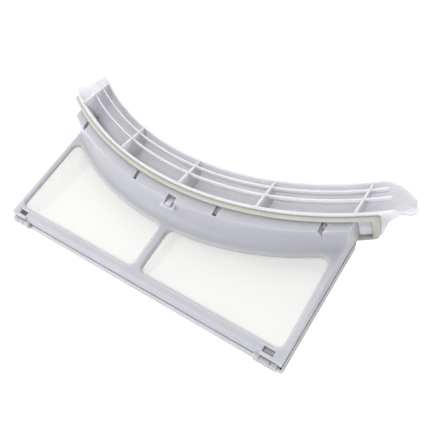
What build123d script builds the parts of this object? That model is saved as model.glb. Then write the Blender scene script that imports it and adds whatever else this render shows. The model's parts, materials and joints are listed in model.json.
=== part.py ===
"""Lint filter of a tumble dryer: two hinged mesh frames under an arched air grille.

The filter lies on its back, rear frame on the table, as it does when it is taken out to be cleaned.
X runs along its width, Y from the hinge edge to the grille and Z upwards, out of its front face.
The front half is drawn flat, its front face at Z = 0, and is then tilted by the wedge of the pocket.
Drawing starts at the hinge edge; the finished filter's origin is on the table, under its middle.
"""
import os
from math import cos, radians, sin, sqrt, tan

from build123d import *

# Outline of both frames
frame_half_width = 120.0
wall = 2.2
rear_depth = 11.2
front_bar_depth = 5.1
wedge_angle = 8.75
parting_gap = 1.4
tray_gap = 0.3

# Windows of the front frame
side_bar = 4.6
bottom_bar = 8.5
mullion_width = 7.6
window_corner = 5.0
window_arc_radius = 212.0
window_arc_low = 45.0
window_bevel_width = 1.8
window_bevel_depth = 1.2
bottom_bevel_height = 2.4
bottom_bevel_depth = 3.0

# Windows and top edge of the rear frame
rear_plate = 3.2
rear_side_bar = 7.0
rear_top_bar = 8.0
rear_top_gap = 1.3
rear_heel_radius = 5.0

# Filter mesh, laid in a rebate behind each window
mesh_thickness = 0.5
mesh_lap = 1.6
front_mesh_set = 1.8
rear_mesh_set = 2.2
mesh_edge_gap = 0.1

# Collar: a raised front wall over a cove, closed by side walls and a rear wall
collar_front = 16.0
collar_rear = -24.0
collar_band_middle = 8.4
collar_band_side = 6.9
cove_lip = 3.6
cove_bow = 0.75
cove_foot_rise = 0.1
cove_flats = 8
cove_stations = 5

# Grille hood: bodies of revolution about one upright axis beyond the top edge
rim_low = 72.5
rim_radius = 243.5
rim_height = 20.4
mouth_width = 25.2
mouth_drop = 6.3
flange_slope = 12.0
flange_thickness = 2.0
flange_rear = -29.2
hood_wall = 2.0
trough_depth = 20.0
trough_flats = 7
arch_half_angle = 34.5
rib_insets = (11.7, 19.7)
rib_thickness = 1.1
rib_depth = 4.5
rib_half_angle = 35.0
web_pitch = 59.0
web_thickness = 1.3
duct_half_width = 116.0
duct_front = 11.0
duct_rear = -1.0

# Horns: the trough's ends, swept back and closed to a rounded nose
horn_sweep = 5.4
horn_rim_rise = 9.8
horn_crest_drop = 10.5
horn_rim_setback = 24.0
horn_crest_setback = 13.8
horn_end_depth = 0.08
horn_rim_bend = 2.5
horn_setback_bend = 1.2
horn_crest_bend = 4.5
horn_stations = (0.0, 0.35, 0.62, 0.82, 1.0)

# Seal under the hood's flange
seal_thickness = 3.4
seal_width = 3.8
seal_half_width = 132.2
seal_front = 18.6
seal_corner = 2.6
seat_gap = 0.05

# Clip slots in the collar and the hood's clip tongues behind them
clip_positions = (35.2, 103.8)
clip_slot_width = 4.6
clip_slot_foot = 3.0
clip_slot_height = 8.0
tongue_width = 7.0
tongue_thickness = 2.0
tongue_gap = 0.2
clip_nib = 1.4

# Finger latch recess above the mullion
latch_width = 7.6
latch_height = 8.0
latch_depth = 3.2
latch_wall = 1.6
latch_ramp = 2.2

# Hinge at the bottom edge: front axle pins in snap hooks of the rear frame
hinge_setback = 0.4
hinge_pocket_inner = 105.6
hinge_pocket_outer = 113.4
hinge_pocket_foot = 2.2
hinge_pocket_head = 5.9
hinge_barrel_radius = 2.9
hinge_pin_radius = 1.6
hinge_running_gap = 0.06
hinge_side_gap = 0.4
hinge_lug_width = 4.2
hinge_mouth = 2.5

# Values that follow from the sizes above
slope = tan(radians(flange_slope))
wedge = radians(wedge_angle)
front_height = rear_depth + parting_gap + front_bar_depth
hinge_y = -hinge_setback
hinge_z = rear_depth + parting_gap / 2
far = 400.0
window_centre_y = window_arc_low + window_arc_radius
arch_centre = rim_low + rim_radius
crest_radius = rim_radius - mouth_width
crest_height = rim_height - mouth_drop
arch_axis = Axis((0, arch_centre, 0), (0, 0, 1))
tilted = Pos(0, 0, front_height) * Rot(wedge_angle, 0, 0)


def arc_y(centre_y, radius, x):
    """Height of an arc that hangs below its centre, at one place along the width."""
    return centre_y - sqrt(radius**2 - x**2)


def flange_radius(z, below=0.0):
    """Radius of the flange's sloping upper face at depth z, or of a face some way below it."""
    return rim_radius - (rim_height - z) * slope + below / cos(radians(flange_slope))


# Shoulder of the cove: an arc some way below the seal over the mullion and at each side wall
seal_foot_radius = flange_radius(collar_front, flange_thickness + seal_thickness)
cove_break_low = arc_y(arch_centre, seal_foot_radius, 0) - collar_band_middle
cove_break_side = arc_y(arch_centre, seal_foot_radius, frame_half_width) - collar_band_side
cove_break_rise = cove_break_side - cove_break_low
cove_break_radius = (frame_half_width**2 + cove_break_rise**2) / (2 * cove_break_rise)
break_centre_y = cove_break_low + cove_break_radius

# Top edge of the rear frame: just below the tilted seal's edge behind the collar
seal_edge_radius = flange_radius(collar_rear, flange_thickness + seal_thickness)
seal_edge_low = (arch_centre - seal_edge_radius) * cos(wedge) - collar_rear * sin(wedge)
rear_top_radius = seal_edge_radius / cos(wedge)
rear_top_low = seal_edge_low - rear_top_gap
rear_centre_y = rear_top_low + rear_top_radius


def chord_height(radius):
    """Height of the grille's flat opening at one radius, between the rim and the crest."""
    share = (rim_radius - radius) / (rim_radius - crest_radius)
    return rim_height + share * (crest_height - rim_height)


def arch_point(radius, z):
    """Point of the plane of symmetry at one radius from the arch axis and one height."""
    return Vector(arch_centre - radius, z)


def arch_face(outline):
    """Face in the plane of symmetry from points given as radius and height."""
    points = [arch_point(radius, z) for radius, z in outline]
    return Plane.YZ * make_face(Polyline(*points, close=True))


def arch_turn(face, half_angle):
    """Solid swept by a face of the plane of symmetry, turned both ways about the arch axis."""
    start = face.rotate(arch_axis, -half_angle)
    return revolve(start, arch_axis, 2 * half_angle)


def arch_slab(upper, lower, half_angle):
    """Conical slab that follows the flange between two offsets below its upper face."""
    front, rear = collar_front + rim_height, 2 * flange_rear
    outline = [
        (flange_radius(front, upper), front),
        (flange_radius(rear, upper), rear),
        (flange_radius(rear, lower), rear),
        (flange_radius(front, lower), front),
    ]
    return arch_turn(arch_face(outline), half_angle)


def above_flange(below):
    """All the room on the grille's side of a face some way below the flange's upper face."""
    front, rear = collar_front + rim_height, 2 * flange_rear
    outline = [
        (crest_radius / 2, front),
        (crest_radius / 2, rear),
        (flange_radius(rear, below), rear),
        (flange_radius(front, below), front),
    ]
    return arch_turn(arch_face(outline), 2 * arch_half_angle)


def plan_block(half_width, front, rear, corner):
    """Upright block with a rounded rectangle seen along Y, tall enough to cross the whole arch."""
    outline = RectangleRounded(2 * half_width, front - rear, corner)
    placed = Plane.XZ * Pos(0, (front + rear) / 2) * outline
    return extrude(placed, amount=-far)


def box_between(x0, x1, y0, y1, z0, z1):
    """Box given by its limits along each axis."""
    middle = Pos((x0 + x1) / 2, (y0 + y1) / 2, (z0 + z1) / 2)
    return middle * Box(abs(x1 - x0), abs(y1 - y0), abs(z1 - z0))


def bar_along_x(x0, x1, radius, y, z):
    """Round bar along X at one place in the YZ plane."""
    return Pos((x0 + x1) / 2, y, z) * Rot(0, 90, 0) * Cylinder(radius, abs(x1 - x0))


def window_outline(side, outer_x, top_centre_y, top_radius):
    """One window: straight sides, rounded corners and a top edge that sags towards the mullion."""
    width = outer_x - mullion_width / 2
    middle = Pos(side * (outer_x + mullion_width / 2) / 2, bottom_bar + top_radius / 2)
    opening = middle * Rectangle(width, top_radius) - Pos(0, top_centre_y) * Circle(top_radius)
    lowest = opening.faces().sort_by(Axis.Y)[0]
    return fillet(lowest.vertices(), window_corner)


def front_window(side):
    """Outline of a window of the front frame, seen along Z."""
    outer = frame_half_width - side_bar
    return window_outline(side, outer, window_centre_y, window_arc_radius)


def rear_window(side):
    """Outline of a window of the rear frame, seen along Z."""
    outer = frame_half_width - rear_side_bar
    return window_outline(side, outer, rear_centre_y, rear_top_radius + rear_top_bar)


def mesh_seat(window, face_z, floor_z):
    """Rebate behind a window, from a face to a floor, and the mesh sheet that lies on the floor."""
    rebate = extrude(Pos(0, 0, face_z) * offset(window, mesh_lap), amount=floor_z - face_z)
    sheet = Pos(0, 0, floor_z) * offset(window, mesh_lap - mesh_edge_gap)
    mesh = extrude(sheet, amount=mesh_thickness if face_z > floor_z else -mesh_thickness)
    return rebate, mesh


def cove_curve(x, inset):
    """Hollow curve in short flats from the window's lip to the shoulder at one place along the width."""
    foot = arc_y(window_centre_y, window_arc_radius, x) + cove_lip
    shoulder = arc_y(break_centre_y, cove_break_radius, x)
    run = cove_bow * (shoulder - foot)
    points = [(foot, 0), (foot + run, cove_foot_rise * run), (foot + run, collar_front), (shoulder, collar_front)]
    curve = Bezier(*[(y + inset, z - inset) for y, z in points])
    return Polyline(*[curve @ (step / cove_flats) for step in range(cove_flats + 1)])


def cove_section(x):
    """Section of the collar's front wall and its cove at one place along the width."""
    outer, inner = cove_curve(x, 0), cove_curve(x, wall)
    head = arc_y(arch_centre, rim_radius, x) + 2 * wall
    edges = [
        outer,
        Line(outer @ 1, (head, collar_front)),
        Line((head, collar_front), (head, collar_front - wall)),
        Line((head, collar_front - wall), inner @ 1),
        inner,
        Line(inner @ 0, outer @ 0),
    ]
    section = Plane(origin=(x, 0, 0), x_dir=(0, 1, 0), z_dir=(1, 0, 0))
    return section * make_face(edges)


def cove_shell():
    """Collar front wall and cove, lofted through sections from one side wall to the other."""
    steps = cove_stations - 1
    stations = [frame_half_width * (2 * step / steps - 1) for step in range(cove_stations)]
    return loft([cove_section(x) for x in stations])


def side_walls():
    """Flat side walls, their front edge following the cove up to the collar."""
    x = frame_half_width
    cove = cove_curve(x, 0)
    head = arc_y(arch_centre, crest_radius, x)
    edges = [
        Line((0, 0), cove @ 0),
        cove,
        Line(cove @ 1, (head, collar_front)),
        Line((head, collar_front), (head, collar_rear)),
        Line((head, collar_rear), (0, collar_rear)),
        Line((0, collar_rear), (0, 0)),
    ]
    right = extrude(Pos(x - wall, 0, 0) * (Plane.YZ * make_face(edges)), amount=wall)
    return right + mirror(right, Plane.YZ)


def front_plate():
    """Flat front with two bevelled windows and a bevel along the bottom edge."""
    plate = Pos(0, far / 2, -front_bar_depth / 2) * Box(2 * frame_half_width, far, front_bar_depth)
    lip = cove_lip + wall
    plate -= Pos(0, window_centre_y, 0) * Cylinder(window_arc_radius - lip, far)
    plate = plate.solids().sort_by(Axis.Y)[0]
    for side in (-1, 1):
        window = front_window(side)
        plate -= extrude(window, amount=-front_bar_depth)
        plate -= loft([Pos(0, 0, -window_bevel_depth) * window, offset(window, window_bevel_width)])
    edge = [(0, -bottom_bevel_depth), (bottom_bevel_height, 0), (0, 0)]
    reach = hinge_pocket_inner - hinge_side_gap
    corner = Plane.YZ * make_face(Polyline(*edge, close=True))
    return plate - extrude(corner, amount=reach, both=True)


def clip_slot(x):
    """Tapered slot through the collar's front wall, just below the seal."""
    top = arc_y(arch_centre, seal_foot_radius, x)
    foot = top - clip_slot_height
    outline = [
        (x - clip_slot_width / 2, top),
        (x + clip_slot_width / 2, top),
        (x + clip_slot_foot / 2, foot),
        (x - clip_slot_foot / 2, foot),
    ]
    face = Pos(0, 0, collar_front - 2 * wall) * make_face(Polyline(*outline, close=True))
    return extrude(face, amount=3 * wall)


def latch_recess():
    """Finger recess above the mullion: the box moulded behind the wall, its hollow and its ramp."""
    middle = cove_break_low
    low, high = middle - latch_height / 2, middle + latch_height / 2
    floor = collar_front - latch_depth
    half = latch_width / 2
    box = box_between(-half - latch_wall, half + latch_wall, low - latch_wall, high + latch_wall,
                      floor - latch_wall, collar_front - wall)
    hollow = box_between(-half, half, low, high, floor, collar_front + wall)
    slope_side = [(low, floor), (high, floor), (low, floor + latch_ramp)]
    ramp = extrude(Plane.YZ * make_face(Polyline(*slope_side, close=True)), amount=half / 2, both=True)
    return box, hollow, ramp


def hinge_spans():
    """Limits along the width of each hinge pocket, left and right."""
    return ((-hinge_pocket_outer, -hinge_pocket_inner), (hinge_pocket_inner, hinge_pocket_outer))


def hinge_bars(radius, inset):
    """Round bars on the hinge axis across both pockets, shortened by an inset at each end."""
    bars = [bar_along_x(x0 + inset, x1 - inset, radius, hinge_y, hinge_z) for x0, x1 in hinge_spans()]
    return bars[0] + bars[1]


def hinge_lugs(radius):
    """Round lugs on the hinge axis beside both pockets."""
    lugs = None
    for x0, x1 in hinge_spans():
        for start, end in ((x0 - hinge_lug_width, x0), (x1, x1 + hinge_lug_width)):
            lug = bar_along_x(start, end, radius, hinge_y, hinge_z)
            lugs = lug if lugs is None else lugs + lug
    return lugs


def rear_outline(margin=0.0):
    """Outline of the rear frame seen along Z: straight sides and a sagging top edge."""
    half = frame_half_width + margin
    sheet = Pos(0, rear_top_radius / 2 - margin) * Rectangle(2 * half, rear_top_radius)
    outline = sheet - Pos(0, rear_centre_y) * Circle(rear_top_radius - margin)
    return outline.faces().sort_by(Axis.Y)[0]


def make_front_frame():
    """Front half: windows, side walls, cove and collar, with the hinge pins at its bottom edge."""
    body = front_plate() + cove_shell() + side_walls()
    rear_wall_head = arc_y(arch_centre, crest_radius, frame_half_width)
    body += box_between(-frame_half_width, frame_half_width, rear_top_low / 2, rear_wall_head,
                        collar_rear, collar_rear + wall)
    box, hollow, ramp = latch_recess()
    body = body + box - hollow + ramp
    for x in clip_positions:
        body -= clip_slot(x)
        body -= clip_slot(-x)
    body -= above_flange(flange_thickness + seat_gap)
    for side in (-1, 1):
        rebate, _ = mesh_seat(front_window(side), -front_bar_depth, -front_mesh_set)
        body -= rebate
    for x0, x1 in hinge_spans():
        body -= box_between(x0, x1, hinge_pocket_foot, hinge_pocket_head,
                            -2 * front_bar_depth, front_bar_depth)
    body = tilted * body
    room = Pos(0, 0, -rear_depth) * rear_outline(tray_gap)
    body -= extrude(room, amount=2 * rear_depth + parting_gap)
    body -= hinge_bars(hinge_barrel_radius + hinge_side_gap, 0)
    body += hinge_lugs(hinge_barrel_radius)
    return body + hinge_bars(hinge_pin_radius, 0)


def make_rear_frame():
    """Rear half: a shallow tray with two windows, whose hooks snap on to the front half's pins."""
    tray = extrude(rear_outline(), amount=rear_depth)
    heel = tray.edges().filter_by(Axis.X).sort_by(Axis.Y)[:2].sort_by(Axis.Z)[0]
    tray = fillet(heel, rear_heel_radius)
    tray -= Pos(0, 0, rear_plate) * extrude(rear_outline(-wall), amount=rear_depth)
    for side in (-1, 1):
        window = rear_window(side)
        tray -= extrude(window, amount=rear_plate)
        rebate, _ = mesh_seat(window, rear_plate, rear_mesh_set)
        tray -= rebate
    tray -= hinge_lugs(hinge_barrel_radius + hinge_side_gap)
    hooks = hinge_bars(hinge_barrel_radius, hinge_side_gap)
    tray += hooks
    tray -= hinge_bars(hinge_pin_radius + hinge_running_gap, 0)
    mouth = box_between(-frame_half_width, frame_half_width, hinge_y - 2 * hinge_barrel_radius, hinge_y,
                        hinge_z - hinge_mouth / 2, hinge_z + hinge_mouth / 2)
    return tray - mouth


def set_back(rim, crest):
    """Chord from rim to crest and the direction square to it, into the trough."""
    chord = crest - rim
    return chord, Vector(chord.Y, -chord.X).normalized()


def heel_shares():
    """Place of the trough's heel, where its round wall meets the flange, as shares of chord and depth."""
    rim = arch_point(rim_radius, rim_height)
    crest = arch_point(crest_radius, crest_height)
    chord, back = set_back(rim, crest)
    arc = ThreePointArc(rim, rim + chord / 2 + back * trough_depth, crest)
    floor = Vector(slope, -1).normalized()
    heel = floor * (2 * (arc.arc_center - rim).dot(floor))
    return heel.dot(chord) / chord.length**2, heel.dot(back) / trough_depth


def round_back(rim, crest, depth, growth=0.0):
    """Points in short flats along the trough's round wall, from crest to heel, or some way outside it."""
    along_share, depth_share = heel_shares()
    chord, back = set_back(rim, crest)
    heel = rim + chord * along_share + back * (depth * depth_share)
    arc = ThreePointArc(crest, rim + chord / 2 + back * depth, heel)
    scale = 1 + growth / arc.radius
    places = [arc @ (step / trough_flats) for step in range(trough_flats + 1)]
    return [arc.arc_center + (place - arc.arc_center) * scale for place in places]


def trough_section(rim, crest, depth, with_floor):
    """Trough wall in section: the round back from crest to heel, with the floor out to the rim if asked."""
    inner = round_back(rim, crest, depth)
    outer = round_back(rim, crest, depth, hood_wall)
    floor = (inner[-1] - rim).normalized()
    edge = [rim, rim + Vector(floor.Y, -floor.X) * flange_thickness] if with_floor else []
    return Plane.YZ * make_face(Polyline(*inner, *edge, *reversed(outer), close=True))


def horn_section(share):
    """Section of the right horn, from the end of the arch at 0 to the nose at 1."""
    setback = share**horn_setback_bend
    rim = arch_point(rim_radius - horn_rim_rise * share**horn_rim_bend,
                     rim_height - horn_rim_setback * setback)
    crest = arch_point(crest_radius + horn_crest_drop * share**horn_crest_bend,
                       crest_height - horn_crest_setback * setback)
    depth = trough_depth * (1 - (1 - horn_end_depth) * share)
    return trough_section(rim, crest, depth, True).rotate(arch_axis, arch_half_angle + horn_sweep * share)


def horns():
    """Swept-back ends of the trough, lofted to their rounded noses."""
    right = loft([horn_section(share) for share in horn_stations], ruled=True)
    return right + mirror(right, Plane.YZ)


def trough_room():
    """The trough's air space, from the grille's flat opening to the round wall and the floor."""
    rim = arch_point(rim_radius, rim_height)
    crest = arch_point(crest_radius, crest_height)
    outline = [rim, *round_back(rim, crest, trough_depth)]
    return arch_turn(Plane.YZ * make_face(Polyline(*outline, close=True)), arch_half_angle)


def grille():
    """Upright webs across the trough and slim ribs along it, flush with the opening."""
    room = trough_room()
    bars = None
    for step in (-2, -1, 0, 1, 2):
        x = step * web_pitch
        web = room & box_between(x - web_thickness / 2, x + web_thickness / 2, 0, far, -far, far)
        bars = web if bars is None else bars + web
    for inset in rib_insets:
        radius = rim_radius - inset
        face_z = chord_height(radius)
        outline = [
            (radius - rib_thickness / 2, face_z),
            (radius + rib_thickness / 2, face_z),
            (radius + rib_thickness / 2, face_z - rib_depth),
            (radius - rib_thickness / 2, face_z - rib_depth),
        ]
        bars += arch_turn(arch_face(outline), rib_half_angle)
    return bars


def clip_tongue(x):
    """Springy tongue under the flange, with a nib that snaps into the collar's slot."""
    face = collar_front - wall - tongue_gap
    seat = flange_radius(collar_front, flange_thickness)
    reach = abs(x) + tongue_width / 2
    top = arc_y(arch_centre, seat, reach) + flange_thickness
    foot = arc_y(break_centre_y, cove_break_radius, reach) + wall + tongue_gap
    tongue = box_between(x - tongue_width / 2, x + tongue_width / 2, foot, top, face - tongue_thickness, face)
    nib_head = arc_y(arch_centre, seat + seal_thickness, x) - tongue_gap
    side = [(nib_head, face), (nib_head, face + clip_nib), (foot, face)]
    half = clip_slot_foot / 2 - tongue_gap
    nib = extrude(Pos(x, 0, 0) * (Plane.YZ * make_face(Polyline(*side, close=True))), amount=half, both=True)
    return (tongue + nib) - above_flange(flange_thickness / 2)


def make_grille_hood():
    """Grille hood: sloping flange, round-backed trough with webs and ribs, horns and clip tongues."""
    plate = arch_slab(0, flange_thickness, arch_half_angle)
    plate &= box_between(-far, far, 0, far, flange_rear, rim_height)
    plate -= box_between(-duct_half_width, duct_half_width, 0, far, duct_rear, duct_front)
    rim = arch_point(rim_radius, rim_height)
    crest = arch_point(crest_radius, crest_height)
    back_wall = arch_turn(trough_section(rim, crest, trough_depth, False), arch_half_angle)
    hood = plate + back_wall + horns() + grille()
    for x in clip_positions:
        hood += clip_tongue(x)
        hood += clip_tongue(-x)
    return tilted * hood


def make_rim_seal():
    """Soft seal strip round the collar, pressed against the flange's underside."""
    strip = arch_slab(flange_thickness + seat_gap, flange_thickness + seal_thickness, 2 * arch_half_angle)
    rear_edge = flange_rear + seat_gap
    outer = plan_block(seal_half_width, seal_front, rear_edge, seal_corner)
    inner = plan_block(seal_half_width - seal_width, collar_front + seat_gap, collar_rear - seat_gap,
                       seal_corner / 2)
    return tilted * (strip & (outer - inner))


def make_front_mesh(side):
    """Mesh sheet of one front window."""
    _, mesh = mesh_seat(front_window(side), -front_bar_depth, -front_mesh_set)
    return tilted * mesh


def make_rear_mesh(side):
    """Mesh sheet of one rear window."""
    _, mesh = mesh_seat(rear_window(side), rear_plate, rear_mesh_set)
    return mesh


nodes = {
    "front_frame": make_front_frame(),
    "grille_hood": make_grille_hood(),
    "rim_seal": make_rim_seal(),
    "front_mesh_left": make_front_mesh(-1),
    "front_mesh_right": make_front_mesh(1),
    "rear_frame": make_rear_frame(),
    "rear_mesh_left": make_rear_mesh(-1),
    "rear_mesh_right": make_rear_mesh(1),
}

boxes = [shape.bounding_box() for shape in nodes.values()]
hinge_end = min(box.min.Y for box in boxes)
grille_end = max(box.max.Y for box in boxes)
centred = Pos(0, -(hinge_end + grille_end) / 2, 0)

os.makedirs("parts", exist_ok=True)
for name, shape in nodes.items():
    export_step(centred * shape, f"parts/{name}.step")
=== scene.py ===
"""Dresses a tumble dryer's lint filter: moulded frames, woven screens, a soft rim seal and a grille hood.

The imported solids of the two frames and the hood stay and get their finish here. The four screens and the seal
are made anew as the cloth and the soft strip that they are.
"""
from __future__ import annotations

import json
import logging
import math
from dataclasses import dataclass
from enum import Enum
from typing import Any, Callable, Dict, List, Optional, Sequence, Tuple, Union

import bpy
from mathutils import Matrix, Vector

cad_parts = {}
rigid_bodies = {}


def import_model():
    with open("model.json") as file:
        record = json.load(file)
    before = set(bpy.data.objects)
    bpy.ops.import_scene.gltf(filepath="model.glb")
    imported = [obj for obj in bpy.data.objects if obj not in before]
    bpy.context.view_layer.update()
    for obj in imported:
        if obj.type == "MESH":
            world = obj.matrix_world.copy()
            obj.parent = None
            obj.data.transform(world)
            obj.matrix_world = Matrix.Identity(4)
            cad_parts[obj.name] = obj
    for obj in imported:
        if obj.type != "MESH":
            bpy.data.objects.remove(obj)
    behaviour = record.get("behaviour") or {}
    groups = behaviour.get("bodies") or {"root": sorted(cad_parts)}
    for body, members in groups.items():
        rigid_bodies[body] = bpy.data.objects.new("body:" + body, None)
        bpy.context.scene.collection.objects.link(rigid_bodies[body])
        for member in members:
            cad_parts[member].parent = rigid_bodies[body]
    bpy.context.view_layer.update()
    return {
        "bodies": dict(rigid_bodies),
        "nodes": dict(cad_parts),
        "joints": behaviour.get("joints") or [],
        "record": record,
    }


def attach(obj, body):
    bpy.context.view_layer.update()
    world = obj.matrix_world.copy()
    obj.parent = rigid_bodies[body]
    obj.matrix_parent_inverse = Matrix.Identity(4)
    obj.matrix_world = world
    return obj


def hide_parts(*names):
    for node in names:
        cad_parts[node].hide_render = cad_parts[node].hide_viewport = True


LOG = logging.getLogger("lint_filter")
MM = 0.001
HALF = 0.5
QUARTER_TURN = 90.0
WHITE = (1.0, 1.0, 1.0, 1.0)

Colour = Tuple[float, float, float]
Point = Tuple[float, float, float]
Span = Tuple[float, float]


class Side(Enum):
    """Left or right half of the filter, seen from the hinge edge."""

    LEFT = -1
    RIGHT = 1


class Face(Enum):
    """Which of the two frames a screen is laid into."""

    FRONT = "front"
    REAR = "rear"


class Sock:
    """Output of a shader node, so that maths on it reads as a Python expression."""

    def __init__(self, tree: "Shading", socket: bpy.types.NodeSocket) -> None:
        """Keeps the tree and the socket."""
        self.tree = tree
        self.socket = socket

    def __add__(self, other: "Value") -> "Sock":
        """Sum."""
        return self.tree.math("ADD", self, other)

    def __radd__(self, other: "Value") -> "Sock":
        """Sum, reflected."""
        return self.tree.math("ADD", other, self)

    def __sub__(self, other: "Value") -> "Sock":
        """Difference."""
        return self.tree.math("SUBTRACT", self, other)

    def __rsub__(self, other: "Value") -> "Sock":
        """Difference, reflected."""
        return self.tree.math("SUBTRACT", other, self)

    def __mul__(self, other: "Value") -> "Sock":
        """Product."""
        return self.tree.math("MULTIPLY", self, other)

    def __rmul__(self, other: "Value") -> "Sock":
        """Product, reflected."""
        return self.tree.math("MULTIPLY", other, self)

    def __truediv__(self, other: "Value") -> "Sock":
        """Quotient."""
        return self.tree.math("DIVIDE", self, other)

    def __rtruediv__(self, other: "Value") -> "Sock":
        """Quotient, reflected."""
        return self.tree.math("DIVIDE", other, self)

    def __abs__(self) -> "Sock":
        """Absolute value."""
        return self.tree.math("ABSOLUTE", self)

    def __lt__(self, other: "Value") -> "Sock":
        """One where the value is below the other, and zero elsewhere."""
        return self.tree.math("LESS_THAN", self, other)

    def fract(self) -> "Sock":
        """Part of the value after the point."""
        return self.tree.math("FRACT", self)

    def sine(self) -> "Sock":
        """Sine of the value in radians."""
        return self.tree.math("SINE", self)

    def most(self, other: "Value") -> "Sock":
        """The larger of two values."""
        return self.tree.math("MAXIMUM", self, other)


Value = Union[Sock, float]
Owner = Union[bpy.types.Material, bpy.types.World]


class Shading:
    """Node tree of a material or the world: one method for any node, and short ones for the usual sums."""

    def __init__(self, owner: Owner, output: str = "OutputMaterial") -> None:
        """Starts an empty tree.

        Args:
            owner: Material or world that holds the tree.
            output: Type of its output node without the ShaderNode prefix.
        """
        owner.use_nodes = True
        self.owner = owner
        self.nodes = owner.node_tree.nodes
        self.links = owner.node_tree.links
        self.nodes.clear()
        self.output = self.nodes.new("ShaderNode" + output)

    @classmethod
    def material(cls, name: str) -> "Shading":
        """Starts an empty material."""
        return cls(bpy.data.materials.new(name))

    def node(self, kind: str, settings: Optional[Dict[str, Any]] = None,
             inputs: Optional[Dict[Any, Any]] = None) -> bpy.types.Node:
        """Adds a node.

        Args:
            kind: Node type without its ShaderNode prefix.
            settings: Properties to set first.
            inputs: Values or sockets by input name or number.

        Returns:
            The new node.
        """
        made = self.nodes.new("ShaderNode" + kind)
        for key, setting in (settings or {}).items():
            setattr(made, key, setting)
        for key, given in (inputs or {}).items():
            if isinstance(given, Sock):
                self.links.new(given.socket, made.inputs[key])
            else:
                made.inputs[key].default_value = given
        return made

    def out(self, node: bpy.types.Node, name: Any = 0) -> Sock:
        """Wraps one of a node's outputs."""
        return Sock(self, node.outputs[name])

    def math(self, operation: str, *terms: Value) -> Sock:
        """Adds a Math node.

        Args:
            operation: Blender's name of the operation.
            terms: Its one, two or three operands.

        Returns:
            The result.
        """
        return self.out(self.node("Math", {"operation": operation}, dict(enumerate(terms))))

    def mix(self, share: Value, first: Any, second: Any) -> Sock:
        """Lays one colour over another.

        Args:
            share: How much of the second colour, 0 to 1.
            first: Colour or socket below.
            second: Colour or socket above.

        Returns:
            The mixed colour.
        """
        inputs = {0: share, 6: self._rgba(first), 7: self._rgba(second)}
        return self.out(self.node("Mix", {"data_type": "RGBA"}, inputs), 2)

    @staticmethod
    def _rgba(colour: Any) -> Any:
        """Colour with an alpha of one, or the socket as it is."""
        return colour if isinstance(colour, Sock) else (*colour, 1.0)

    def place(self) -> Sock:
        """Position on the piece, in metres."""
        return self.out(self.node("TexCoord"), "Object")

    def noise(self, where: Sock, scale: float, detail: float = 3.0, roughness: float = 0.5) -> Sock:
        """Even noise from 0 to 1.

        Args:
            where: Coordinates.
            scale: Cells per metre.
            detail: Octaves.
            roughness: Share of the finer octaves.

        Returns:
            The noise value.
        """
        inputs = {"Vector": where, "Scale": scale, "Detail": detail, "Roughness": roughness}
        return self.out(self.node("TexNoise", None, inputs), 0)

    def ramp(self, value: Sock, limits: Span) -> Sock:
        """Value stretched so that the lower limit becomes 0 and the upper one 1, and held there.

        Args:
            value: Value to stretch.
            limits: Values that become 0 and 1.

        Returns:
            The stretched value.
        """
        return self.out(self.node("MapRange", None, {0: value, 1: limits[0], 2: limits[1]}))

    def in_view(self) -> Sock:
        """One where light goes to the eye straight, by a reflection or through something clear."""
        path = self.node("LightPath")
        straight, glossy = self.out(path, "Is Camera Ray"), self.out(path, "Is Glossy Ray")
        return straight.most(glossy).most(self.out(path, "Is Transmission Ray"))

    def soft_edge(self, radius: float) -> Sock:
        """Surface normal with the edges rounded to a small radius."""
        return self.out(self.node("Bevel", {"samples": 6}, {"Radius": radius}))

    def bump(self, height: Sock, distance: float, strength: float, normal: Optional[Sock] = None) -> Sock:
        """Surface normal over a height.

        Args:
            height: Height from 0 to 1.
            distance: Height of the relief in metres.
            strength: How much of it shows.
            normal: Normal to start from, if it isn't the surface's own.

        Returns:
            The new normal.
        """
        inputs: Dict[Any, Any] = {"Height": height, "Distance": distance, "Strength": strength}
        if normal is not None:
            inputs["Normal"] = normal
        return self.out(self.node("Bump", None, inputs))

    def show(self, shader: bpy.types.Node) -> Owner:
        """Joins a shader to the output.

        Args:
            shader: The tree's last shader.

        Returns:
            The finished material or world.
        """
        self.links.new(shader.outputs[0], self.output.inputs["Surface"])
        return self.owner

    def surface(self, inputs: Dict[str, Any]) -> Owner:
        """Adds the main shader with the given values or sockets, and finishes the material."""
        return self.show(self.node("BsdfPrincipled", None, inputs))


@dataclass(frozen=True)
class PartingShadow:
    """Painted shadow along both sides: a dark band over the narrow gap where the front frame closes on the
    tray.
    """

    low: float = 10.6 * MM
    high: float = 13.3 * MM
    side: float = 119.0 * MM
    end: float = 39.0 * MM
    fade: float = 0.25 * MM

    def mask(self, tree: Shading, where: Sock) -> Sock:
        """Share of the painted shadow at a place.

        Args:
            tree: Tree of the material.
            where: Position on the piece.

        Returns:
            The share, 0 away from the line.
        """
        part = tree.node("SeparateXYZ", None, {0: where})
        across, along, height = (tree.out(part, index) for index in range(3))
        above = tree.ramp(height, (self.low, self.low + self.fade))
        below = 1.0 - tree.ramp(height, (self.high - self.fade, self.high))
        outside = tree.ramp(abs(across), (self.side - self.fade, self.side))
        ahead = 1.0 - tree.ramp(along, (self.end - self.fade, self.end))
        return above * below * outside * ahead


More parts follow.
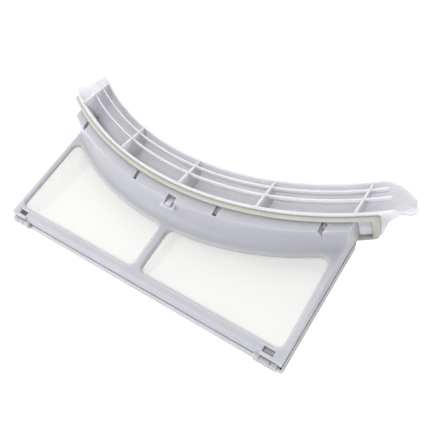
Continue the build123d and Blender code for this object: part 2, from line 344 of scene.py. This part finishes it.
@dataclass(frozen=True)
class MouldedPlastic:
    """White injection-moulded plastic, cool cast, satin, faint flow marks, fine grain, painted shade in
    hollows.
    """

    name: str
    colour: Colour = (0.54, 0.545, 0.585)
    cloud: Colour = (0.505, 0.511, 0.56)
    warm: Colour = (0.56, 0.553, 0.573)
    # Colour of the painted shade in hollows, crevices and along the parting gap.
    painted_shade: Colour = (0.02, 0.02, 0.03)
    roughness: float = 0.42
    flow_roughness: float = 0.10
    grain_roughness: float = 0.08
    refraction: float = 1.46
    gloss: float = 0.4
    cloud_scale: float = 26.0
    cloud_detail: float = 2.0
    cloud_limits: Span = (0.35, 0.68)
    cloud_share: float = 0.8
    flow_scale: float = 90.0
    flow_detail: float = 4.0
    flow_fineness: float = 0.55
    flow_stretch: Point = (0.25, 1.0, 1.0)
    flow_limits: Span = (0.5, 0.75)
    flow_share: float = 0.6
    grain_scale: float = 2600.0
    grain_detail: float = 2.0
    grain_fineness: float = 0.6
    grain_height: float = 0.02 * MM
    grain_strength: float = 0.35
    edge_radius: float = 0.45 * MM
    crevice_reach: float = 6.0 * MM
    crevice_samples: int = 8
    hollow_limits: Span = (0.45, 0.95)
    hollow_shade: float = 0.06
    closed_limits: Span = (0.24, 0.44)
    closed_shade: float = 0.06
    depth_weight: float = 1.0
    depth_spread: Point = (1.0, 1.0, 1.0)
    light_depth: float = 5.0 * MM
    gap_shadow: Optional[PartingShadow] = None

    def make(self) -> bpy.types.Material:
        """Builds the material.

        Returns:
            The finished material.
        """
        tree = Shading.material(self.name)
        where = tree.place()
        clouds = tree.ramp(tree.noise(where, self.cloud_scale, self.cloud_detail), self.cloud_limits)
        stretched = tree.out(tree.node("Mapping", None, {"Vector": where, "Scale": self.flow_stretch}))
        flow = tree.noise(stretched, self.flow_scale, self.flow_detail, self.flow_fineness)
        grain = tree.noise(where, self.grain_scale, self.grain_detail, self.grain_fineness)
        colour = tree.mix(clouds * self.cloud_share, self.colour, self.cloud)
        colour = tree.mix(tree.ramp(flow, self.flow_limits) * self.flow_share, colour, self.warm)
        # Painted shade: ambient occlusion darkens the colour in hollows and in closed crevices.
        settings, inputs = {"samples": self.crevice_samples}, {"Distance": self.crevice_reach}
        sky = tree.out(tree.node("AmbientOcclusion", settings, inputs), "AO")
        hollow = (1.0 - tree.ramp(sky, self.hollow_limits)) * self.hollow_shade
        dark = (1.0 - tree.ramp(sky, self.closed_limits)) * self.closed_shade
        # Painted shadow over the gap between the two halves.
        if self.gap_shadow is not None:
            dark = dark.most(self.gap_shadow.mask(tree, where))
        colour = tree.mix(hollow, colour, self.painted_shade)
        colour = tree.mix(dark, colour, self.painted_shade)
        uneven = (flow - HALF) * self.flow_roughness + (grain - HALF) * self.grain_roughness
        rounded = tree.soft_edge(self.edge_radius)
        return tree.surface({
            "Base Color": colour,
            "Roughness": self.roughness + uneven,
            "IOR": self.refraction,
            "Specular IOR Level": self.gloss,
            "Subsurface Weight": self.depth_weight,
            "Subsurface Radius": self.depth_spread,
            "Subsurface Scale": self.light_depth,
            "Normal": tree.bump(grain, self.grain_height, self.grain_strength, rounded),
        })


@dataclass(frozen=True)
class SoftStrip:
    """Cream sealing strip: close felted foam with a dull, slightly uneven face."""

    name: str
    colour: Colour = (0.64, 0.62, 0.555)
    shade: Colour = (0.56, 0.542, 0.475)
    fleck: Colour = (0.73, 0.715, 0.66)
    roughness: float = 0.82
    roughness_spread: float = 0.2
    gloss: float = 0.25
    sheen: float = 0.25
    sheen_roughness: float = 0.5
    fibre_scale: float = 1500.0
    fibre_detail: float = 4.0
    fibre_fineness: float = 0.65
    fibre_height: float = 0.10 * MM
    fibre_strength: float = 0.6
    fleck_limits: Span = (0.52, 0.7)
    fleck_share: float = 0.5
    blotch_scale: float = 70.0
    blotch_limits: Span = (0.35, 0.7)
    blotch_share: float = 0.55

    def make(self) -> bpy.types.Material:
        """Builds the material.

        Returns:
            The finished material.
        """
        tree = Shading.material(self.name)
        where = tree.place()
        fibre = tree.noise(where, self.fibre_scale, self.fibre_detail, self.fibre_fineness)
        blotch = tree.ramp(tree.noise(where, self.blotch_scale), self.blotch_limits)
        colour = tree.mix(blotch * self.blotch_share, self.colour, self.shade)
        colour = tree.mix(tree.ramp(fibre, self.fleck_limits) * self.fleck_share, colour, self.fleck)
        return tree.surface({
            "Base Color": colour,
            "Roughness": self.roughness + (fibre - HALF) * self.roughness_spread,
            "Specular IOR Level": self.gloss,
            "Sheen Weight": self.sheen,
            "Sheen Roughness": self.sheen_roughness,
            "Normal": tree.bump(fibre, self.fibre_height, self.fibre_strength),
        })


@dataclass(frozen=True)
class WovenScreen:
    """Fine white monofilament weave: threads with open holes between them."""

    name: str
    colour: Colour = (0.97, 0.965, 0.945)
    shade: Colour = (0.95, 0.945, 0.92)
    pitch: float = 0.55 * MM
    thread: float = 0.52
    thread_height: float = 0.06 * MM
    thread_strength: float = 0.5
    over_and_under: float = 0.3
    roughness: float = 0.45
    roughness_spread: float = 0.15
    gloss: float = 0.35
    blotch_scale: float = 60.0

    def make(self) -> bpy.types.Material:
        """Builds the material.

        Returns:
            The finished material.
        """
        tree = Shading.material(self.name)
        weave = tree.node("SeparateXYZ", None, {0: tree.out(tree.node("TexCoord"), "UV")})
        across = tree.out(weave, 0) / self.pitch
        along = tree.out(weave, 1) / self.pitch
        warp = abs(across.fract() - HALF)
        weft = abs(along.fract() - HALF)
        cover = (warp < self.thread / 2).most(weft < self.thread / 2)
        wave = (across * math.pi).sine() * (along * math.pi).sine()
        height = (1.0 - warp * 2.0).most(1.0 - weft * 2.0) + wave * self.over_and_under
        blotch = tree.noise(tree.place(), self.blotch_scale)
        return tree.surface({
            "Base Color": tree.mix(blotch, self.colour, self.shade),
            "Roughness": self.roughness + (blotch - HALF) * self.roughness_spread,
            "Specular IOR Level": self.gloss,
            "Alpha": cover,
            "Normal": tree.bump(height, self.thread_height, self.thread_strength),
        })


@dataclass(frozen=True)
class TableTop:
    """Plain white table that the camera sees as white, with the filter's soft shadow on it."""

    name: str
    colour: Colour = (0.86, 0.86, 0.87)
    lift: float = 0.7

    def make(self) -> bpy.types.Material:
        """Builds the material.

        Returns:
            The finished material.
        """
        tree = Shading.material(self.name)
        matt = tree.out(tree.node("BsdfDiffuse", None, {"Color": (*self.colour, 1.0)}))
        lift = tree.out(tree.node("Emission", None, {"Color": WHITE, "Strength": self.lift}))
        bright = tree.out(tree.node("AddShader", None, {0: matt, 1: lift}))
        return tree.show(tree.node("MixShader", None, {0: tree.in_view(), 1: matt, 2: bright}))


@dataclass
class Finishes:
    """All the finishes of the filter, made once."""

    frame: bpy.types.Material
    hood: bpy.types.Material
    seal: bpy.types.Material
    screen: bpy.types.Material

    @classmethod
    def make(cls) -> "Finishes":
        """Builds every finish.

        Returns:
            The set of materials.
        """
        return cls(
            frame=MouldedPlastic("frame_plastic", gap_shadow=PartingShadow()).make(),
            hood=MouldedPlastic("hood_plastic", colour=(0.655, 0.66, 0.695), cloud=(0.62, 0.625, 0.67),
                                warm=(0.675, 0.668, 0.688), cloud_scale=22.0, hollow_shade=0.03,
                                light_depth=9.0 * MM).make(),
            seal=SoftStrip("seal_strip").make(),
            screen=WovenScreen("woven_screen").make(),
        )


@dataclass(frozen=True)
class Layout:
    """Sizes that the filter's pieces share, in millimetres from the hinge edge."""

    shift: float = 69.463
    front_height: float = 17.7
    wedge_angle: float = 8.75
    mullion_width: float = 7.6
    bottom_bar: float = 8.5
    lap: float = 1.4
    corner: float = 6.4

    def flat(self, x: float, y: float, z: float) -> Point:
        """Point of the rear half in metres, in the part's frame."""
        return (x * MM, (y - self.shift) * MM, z * MM)

    def tilted(self, x: float, y: float, z: float) -> Point:
        """Point of the front half in metres, in the part's frame.

        Args:
            x: Place along the width.
            y: Place up the front face.
            z: Height above the front face.

        Returns:
            The point.
        """
        cosine = math.cos(math.radians(self.wedge_angle))
        sine = math.sin(math.radians(self.wedge_angle))
        return self.flat(x, y * cosine - z * sine, y * sine + z * cosine + self.front_height)


def mesh_piece(name: str, points: Sequence[Point], faces: Sequence[Sequence[int]],
               material: bpy.types.Material) -> bpy.types.Object:
    """Makes a smooth mesh object.

    Args:
        name: Name of the piece.
        points: Its vertices in metres.
        faces: Its faces as vertex numbers.
        material: Its finish.

    Returns:
        The new object.
    """
    mesh = bpy.data.meshes.new(name)
    mesh.from_pydata([Vector(point) for point in points], [], [list(face) for face in faces])
    mesh.validate()
    mesh.polygons.foreach_set("use_smooth", [True] * len(mesh.polygons))
    mesh.materials.append(material)
    piece = bpy.data.objects.new(name, mesh)
    bpy.context.scene.collection.objects.link(piece)
    return piece


@dataclass(frozen=True)
class Window:
    """Outer side, arched top and depth of the windows of one half, in millimetres."""

    side_bar: float
    top_centre: float
    top_radius: float
    level: float


@dataclass
class Screen:
    """One woven screen, stretched flat behind its window."""

    face: Face
    side: Side
    layout: Layout
    window: Window
    columns: int = 56
    rows: int = 36
    askew: float = 38.0

    @property
    def name(self) -> str:
        """Name of the piece."""
        return f"{self.face.value}_screen_{self.side.name.lower()}"

    @property
    def node(self) -> str:
        """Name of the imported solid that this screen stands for."""
        return f"{self.face.value}_mesh_{self.side.name.lower()}"

    @property
    def body(self) -> str:
        """Name of the half that carries it."""
        return f"{self.face.value}_half"

    @property
    def sides(self) -> Span:
        """Distances of the sheet's two sides from the middle of the filter."""
        return self.layout.mullion_width / 2 - self.layout.lap, self.window.side_bar + self.layout.lap

    def edges(self, x: float) -> Span:
        """Lowest and highest point of the sheet at one place along the width.

        Args:
            x: Distance from the middle of the filter.

        Returns:
            Both heights up the face.
        """
        inner, outer = self.sides
        low = self.layout.bottom_bar - self.layout.lap
        high = self.window.top_centre - math.sqrt((self.window.top_radius - self.layout.lap) ** 2 - x**2)
        away = min(x - inner, outer - x)
        short = max(0.0, self.layout.corner - away)
        turn = self.layout.corner - math.sqrt(max(0.0, self.layout.corner**2 - short**2))
        return low + turn, high - turn

    def spread(self) -> List[float]:
        """Places of the columns along the width, closer at the rounded corners.

        Returns:
            Distances from the middle of the filter.
        """
        inner, outer = self.sides
        shares = [HALF - HALF * math.cos(math.pi * step / self.columns) for step in range(self.columns + 1)]
        return [inner + (outer - inner) * share for share in shares]

    def build(self, material: bpy.types.Material) -> bpy.types.Object:
        """Makes the sheet, lays its weave along it and hangs it on its half.

        Args:
            material: Finish of the sheet.

        Returns:
            The screen.
        """
        put: Callable[[float, float, float], Point]
        put = self.layout.tilted if self.face is Face.FRONT else self.layout.flat
        points: List[Point] = []
        weave: List[Span] = []
        for x in self.spread():
            low, high = self.edges(x)
            for row in range(self.rows + 1):
                y = low + (high - low) * row / self.rows
                points.append(put(self.side.value * x, y, self.window.level))
                weave.append(self.thread_place(self.side.value * x, y))
        stride = self.rows + 1
        faces = []
        for column in range(self.columns):
            for row in range(self.rows):
                first = column * stride + row
                loop = [first, first + stride, first + stride + 1, first + 1]
                faces.append(loop if self.side is Side.RIGHT else loop[::-1])
        piece = mesh_piece(self.name, points, faces, material)
        layer = piece.data.uv_layers.new(name="weave")
        for corner in piece.data.loops:
            layer.data[corner.index].uv = weave[corner.vertex_index]
        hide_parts(self.node)
        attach(piece, self.body)
        self.declare()
        return piece

    def thread_place(self, x: float, y: float) -> Span:
        """Place on the cloth, whose threads run askew in the rear screens, in metres.

        Args:
            x: Place along the width.
            y: Place up the face.

        Returns:
            Distances across the two sets of threads.
        """
        turn = math.radians(self.askew if self.face is Face.REAR else 0.0)
        across = x * math.cos(turn) - y * math.sin(turn)
        along = x * math.sin(turn) + y * math.cos(turn)
        return across * MM, along * MM

    def declare(self) -> None:
        """Works out the width and length of the sheet's flat cut, and keeps neither.
        """
        places = self.spread()
        spans = [self.edges(x) for x in places]
        width = places[-1] - places[0]
        length = max(high for _, high in spans) - min(low for low, _ in spans)
        width * MM
        length * MM


@dataclass
class RimSeal:
    """Soft strip in a ring round the collar, pressed against the underside of the hood's flange."""

    layout: Layout
    arch_centre: float = 316.0
    rim_radius: float = 243.5
    rim_height: float = 20.4
    flange_slope: float = 12.0
    seat: float = 2.05
    foot: float = 5.4
    outer_half: float = 132.2
    outer_front: float = 18.6
    outer_rear: float = -29.15
    outer_corner: float = 2.6
    inner_half: float = 128.4
    inner_front: float = 16.05
    inner_rear: float = -24.05
    inner_corner: float = 1.3
    long_steps: int = 96
    short_steps: int = 18
    corner_steps: int = 6
    section: Tuple[Span, ...] = (
        (0.0, 0.0), (0.0, 0.45), (0.02, 0.75), (0.10, 0.92), (0.24, 1.0), (0.5, 1.0),
        (0.76, 1.0), (0.90, 0.92), (0.98, 0.75), (1.0, 0.45), (1.0, 0.0),
    )

    def ring(self, half: float, front: float, rear: float, corner: float) -> List[Span]:
        """Points round a rectangle with rounded corners.

        Args:
            half: Half its width.
            front: Height of its upper side.
            rear: Height of its lower side.
            corner: Radius of its corners.

        Returns:
            Places along the width and heights, once round.
        """
        ends = ((half, front), (-half, front), (-half, rear), (half, rear))
        corners = [(x, z, index * QUARTER_TURN) for index, (x, z) in enumerate(ends)]
        points: List[Span] = []
        for index, (x, z, start) in enumerate(corners):
            centre = (x - math.copysign(corner, x), z - (corner if z == front else -corner))
            for step in range(self.corner_steps + 1):
                angle = math.radians(start + QUARTER_TURN * step / self.corner_steps)
                points.append((centre[0] + corner * math.cos(angle), centre[1] + corner * math.sin(angle)))
            x2, z2, turn = corners[(index + 1) % len(corners)]
            after = (x2 - math.copysign(corner, x2), z2 - (corner if z2 == front else -corner))
            angle = math.radians(turn)
            goal = (after[0] + corner * math.cos(angle), after[1] + corner * math.sin(angle))
            last = points[-1]
            steps = self.long_steps if index % 2 == 0 else self.short_steps
            for step in range(1, steps):
                share = step / steps
                points.append((last[0] + (goal[0] - last[0]) * share, last[1] + (goal[1] - last[1]) * share))
        return points

    def under_flange(self, x: float, z: float, below: float) -> float:
        """Height up the face of the surface some way below the flange.

        Args:
            x: Place along the width.
            z: Height above the front face.
            below: Distance below the flange's upper face.

        Returns:
            The height.
        """
        slope = math.radians(self.flange_slope)
        radius = self.rim_radius - (self.rim_height - z) * math.tan(slope) + below / math.cos(slope)
        return self.arch_centre - math.sqrt(radius**2 - x**2)

    def build(self, material: bpy.types.Material) -> bpy.types.Object:
        """Sweeps the strip's section round the ring and hangs it on the front half.

        Args:
            material: Finish of the strip.

        Returns:
            The seal.
        """
        inner = self.ring(self.inner_half, self.inner_front, self.inner_rear, self.inner_corner)
        outer = self.ring(self.outer_half, self.outer_front, self.outer_rear, self.outer_corner)
        points: List[Point] = []
        for (inner_x, inner_z), (outer_x, outer_z) in zip(inner, outer):
            for across, down in self.section:
                x = inner_x + (outer_x - inner_x) * across
                z = inner_z + (outer_z - inner_z) * across
                below = self.seat + (self.foot - self.seat) * down
                points.append(self.layout.tilted(x, self.under_flange(x, z, below), z))
        count, width = len(inner), len(self.section)
        faces = []
        for station in range(count):
            after = (station + 1) % count
            for step in range(width):
                beside = (step + 1) % width
                faces.append([station * width + step, after * width + step,
                              after * width + beside, station * width + beside])
        piece = mesh_piece("seal_strip", points, faces, material)
        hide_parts("rim_seal")
        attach(piece, "front_half")
        return piece


@dataclass
class MouldedShell:
    """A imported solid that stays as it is, shaded smooth over its shallow edges."""

    node: str
    crease: float = 32.0
    weld: float = 0.004 * MM

    def dress(self, frame: Dict[str, Any], material: bpy.types.Material) -> bpy.types.Object:
        """Gives the solid its finish and smooth shading.

        Args:
            frame: The loaded frame.
            material: Finish of the solid.

        Returns:
            The solid's object.
        """
        shell = frame["nodes"][self.node]
        shell.data.materials.clear()
        shell.data.materials.append(material)
        smoother = shell.modifiers.new("smooth_faces", "NODES")
        smoother.node_group = self.smoothing()
        return shell

    def smoothing(self) -> bpy.types.NodeTree:
        """Node group that joins the faces and keeps only the sharp edges sharp.

        Returns:
            The node group.
        """
        name = "smooth_moulding"
        if name in bpy.data.node_groups:
            return bpy.data.node_groups[name]
        group = bpy.data.node_groups.new(name, "GeometryNodeTree")
        group.interface.new_socket("Geometry", in_out="INPUT", socket_type="NodeSocketGeometry")
        group.interface.new_socket("Geometry", in_out="OUTPUT", socket_type="NodeSocketGeometry")
        start = group.nodes.new("NodeGroupInput")
        end = group.nodes.new("NodeGroupOutput")
        joined = group.nodes.new("GeometryNodeMergeByDistance")
        joined.inputs["Distance"].default_value = self.weld
        plain = group.nodes.new("GeometryNodeRemoveAttribute")
        plain.inputs["Name"].default_value = "custom_normal"
        smooth = group.nodes.new("GeometryNodeSetShadeSmooth")
        angle = group.nodes.new("GeometryNodeInputMeshEdgeAngle")
        sharp = group.nodes.new("FunctionNodeCompare")
        sharp.data_type = "FLOAT"
        sharp.operation = "GREATER_THAN"
        sharp.inputs[1].default_value = math.radians(self.crease)
        crease = group.nodes.new("GeometryNodeSetShadeSmooth")
        crease.domain = "EDGE"
        crease.inputs["Shade Smooth"].default_value = False
        link = group.links.new
        link(start.outputs[0], joined.inputs["Geometry"])
        link(joined.outputs[0], plain.inputs["Geometry"])
        link(plain.outputs[0], smooth.inputs["Geometry"])
        link(angle.outputs["Unsigned Angle"], sharp.inputs[0])
        link(sharp.outputs[0], crease.inputs["Selection"])
        link(smooth.outputs[0], crease.inputs["Geometry"])
        link(crease.outputs[0], end.inputs[0])
        return group


@dataclass
class RearHalf:
    """Rear tray with its two screens."""

    layout: Layout
    window: Window = Window(side_bar=113.0, top_centre=320.28, top_radius=250.4, level=2.45)

    def build(self, frame: Dict[str, Any], finishes: Finishes) -> List[bpy.types.Object]:
        """Dresses the tray and lays in its screens.

        Args:
            frame: The loaded frame.
            finishes: The filter's finishes.

        Returns:
            The pieces.
        """
        pieces = [MouldedShell("rear_frame").dress(frame, finishes.frame)]
        for side in Side:
            pieces.append(Screen(Face.REAR, side, self.layout, self.window).build(finishes.screen))
        return pieces


@dataclass
class FrontHalf:
    """Front frame with its screens, the rim seal and the grille hood."""

    layout: Layout
    window: Window = Window(side_bar=115.4, top_centre=257.0, top_radius=212.0, level=-2.05)

    def build(self, frame: Dict[str, Any], finishes: Finishes) -> List[bpy.types.Object]:
        """Dresses frame and hood, lays in the screens and presses on the seal.

        Args:
            frame: The loaded frame.
            finishes: The filter's finishes.

        Returns:
            The pieces.
        """
        pieces = [MouldedShell("front_frame").dress(frame, finishes.frame),
                  MouldedShell("grille_hood").dress(frame, finishes.hood)]
        for side in Side:
            pieces.append(Screen(Face.FRONT, side, self.layout, self.window).build(finishes.screen))
        pieces.append(RimSeal(self.layout).build(finishes.seal))
        return pieces


@dataclass(frozen=True)
class Lamp:
    """One soft square lamp, aimed at the filter."""

    name: str
    place: Point
    size: float
    power: float
    colour: Colour = (1.0, 0.995, 0.99)
    aim: Point = (0.0, 0.0, 0.02)

    def light(self) -> bpy.types.Object:
        """Puts up the lamp.

        Returns:
            The lamp's object.
        """
        lamp = bpy.data.lights.new(self.name, "AREA")
        lamp.shape = "SQUARE"
        lamp.size = self.size
        lamp.energy = self.power
        lamp.color = self.colour
        made = bpy.data.objects.new(self.name, lamp)
        made.location = self.place
        look = Vector(self.aim) - Vector(self.place)
        made.rotation_euler = look.to_track_quat("-Z", "Y").to_euler()
        bpy.context.scene.collection.objects.link(made)
        return made


@dataclass(frozen=True)
class Viewpoint:
    """Camera over the right of the hinge edge, turned a little about its own axis."""

    place: Point = (0.1755, -0.169861, 0.3137)
    forward: Point = (-0.4055, 0.4667, -0.7859)
    up: Point = (-0.3859, 0.6921, 0.6101)
    lens: float = 42.57
    sensor: float = 36.0
    nearest: float = 0.01

    def put(self) -> bpy.types.Object:
        """Sets up the camera.

        Returns:
            The camera's object.
        """
        camera = bpy.data.cameras.new("camera")
        camera.lens = self.lens
        camera.sensor_width = self.sensor
        camera.sensor_fit = "HORIZONTAL"
        camera.clip_start = self.nearest
        made = bpy.data.objects.new("camera", camera)
        back = -Vector(self.forward).normalized()
        right = Vector(self.up).cross(back).normalized()
        upward = back.cross(right)
        turn = Matrix((right, upward, back)).transposed()
        made.matrix_world = Matrix.Translation(Vector(self.place)) @ turn.to_4x4()
        bpy.context.scene.collection.objects.link(made)
        bpy.context.scene.camera = made
        return made


@dataclass
class Studio:
    """White table, soft lamps and the camera."""

    table_half: float = 3.0
    horizon: float = 0.76
    zenith: float = 0.98
    lean: Point = (-0.36, 0.06, 0.0)
    seen_strength: float = 1.0
    lamps: Tuple[Lamp, ...] = (
        Lamp("back_lamp", place=(-0.60, 1.15, 1.10), size=1.0, power=11.0),
        Lamp("front_lamp", place=(-0.70, -1.25, 0.45), size=0.8, power=7.0),
    )

    def build(self) -> None:
        """Puts up table, world, lamps and camera."""
        self.table()
        self.world()
        for lamp in self.lamps:
            lamp.light()
        Viewpoint().put()
        bpy.context.scene.view_settings.view_transform = "Standard"

    def table(self) -> None:
        """Lays the table under the filter."""
        half = self.table_half
        corners = [(-half, -half, 0.0), (half, -half, 0.0), (half, half, 0.0), (-half, half, 0.0)]
        table = mesh_piece("table", corners, [(0, 1, 2, 3)], TableTop("table_top").make())

    def world(self) -> None:
        """Soft light from a white tent, brighter overhead and to the left, plain white where it is seen."""
        world = bpy.data.worlds.new("surroundings")
        bpy.context.scene.world = world
        tree = Shading(world, "OutputWorld")
        facing = tree.out(tree.node("TexCoord"), "Generated")
        height = tree.out(tree.node("SeparateXYZ", None, {0: facing}), 2)
        tent = tree.out(tree.node("MapRange", None, {0: height, 3: self.horizon, 4: self.zenith}))
        settings, inputs = {"operation": "DOT_PRODUCT"}, {0: facing, 1: self.lean}
        aside = tree.out(tree.node("VectorMath", settings, inputs), "Value")
        inputs = {0: tree.in_view(), 2: aside * tent + tent, 3: self.seen_strength}
        strength = tree.out(tree.node("Mix", {"data_type": "FLOAT"}, inputs))
        tree.show(tree.node("Background", None, {"Color": WHITE, "Strength": strength}))


def main() -> None:
    """Builds the filter piece by piece."""
    logging.basicConfig(level=logging.INFO, format="%(message)s")
    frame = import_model()
    layout = Layout()
    finishes = Finishes.make()
    for half in (RearHalf(layout), FrontHalf(layout)):
        for piece in half.build(frame, finishes):
            LOG.info("piece %s with %d faces", piece.name, len(piece.data.polygons))
    Studio().build()


if __name__ == "__main__":
    main()
